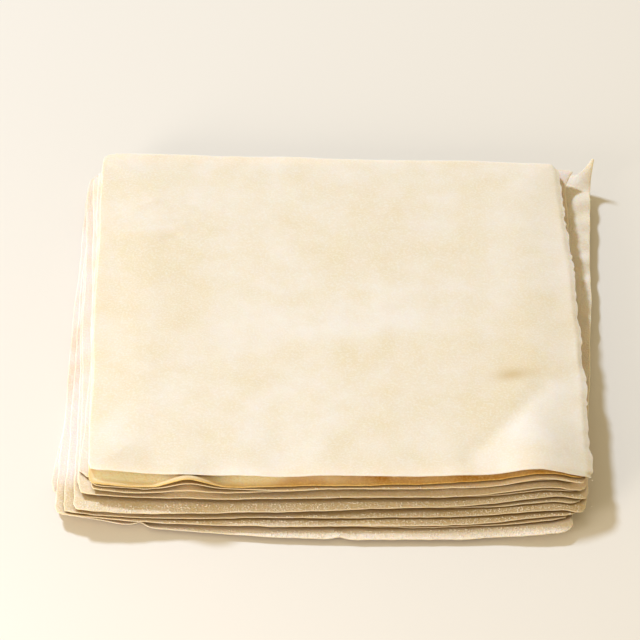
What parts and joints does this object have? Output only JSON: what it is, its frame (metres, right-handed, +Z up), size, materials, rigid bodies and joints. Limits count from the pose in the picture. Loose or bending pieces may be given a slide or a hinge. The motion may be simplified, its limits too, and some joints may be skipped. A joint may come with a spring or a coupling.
{
  "type": "stack of spring roll wrappers",
  "caption": "Loose stack of square, paper-thin raw wheat dough wrappers for rolling, laid by hand a little askew, with a lifted top sheet and a dried corner that curls up.",
  "frame": {"origin": "on the surface the stack lies on, below the centre of its bounding box", "axes": "+X right along the front edges as the picture shows them, +Y from the front edges to the back, +Z up through the sheets"},
  "size_m": [0.221, 0.219, 0.021],
  "materials": {
    "top_wrapper": "matte, lightly floured",
    "second_wrapper": "matte, lightly floured",
    "wrapper": "matte, lightly floured"
  },
  "bodies": {
    "root": {"wrapper_01": "wrapper", "wrapper_02": "wrapper", "wrapper_03": "wrapper", "wrapper_04": "wrapper", "wrapper_05": "wrapper", "wrapper_06": "wrapper", "wrapper_07": "wrapper", "wrapper_08": "wrapper", "wrapper_09": "wrapper", "wrapper_10": "wrapper", "wrapper_11": "wrapper", "wrapper_12": "second_wrapper", "wrapper_13": "top_wrapper"}
  },
  "joints": []
}
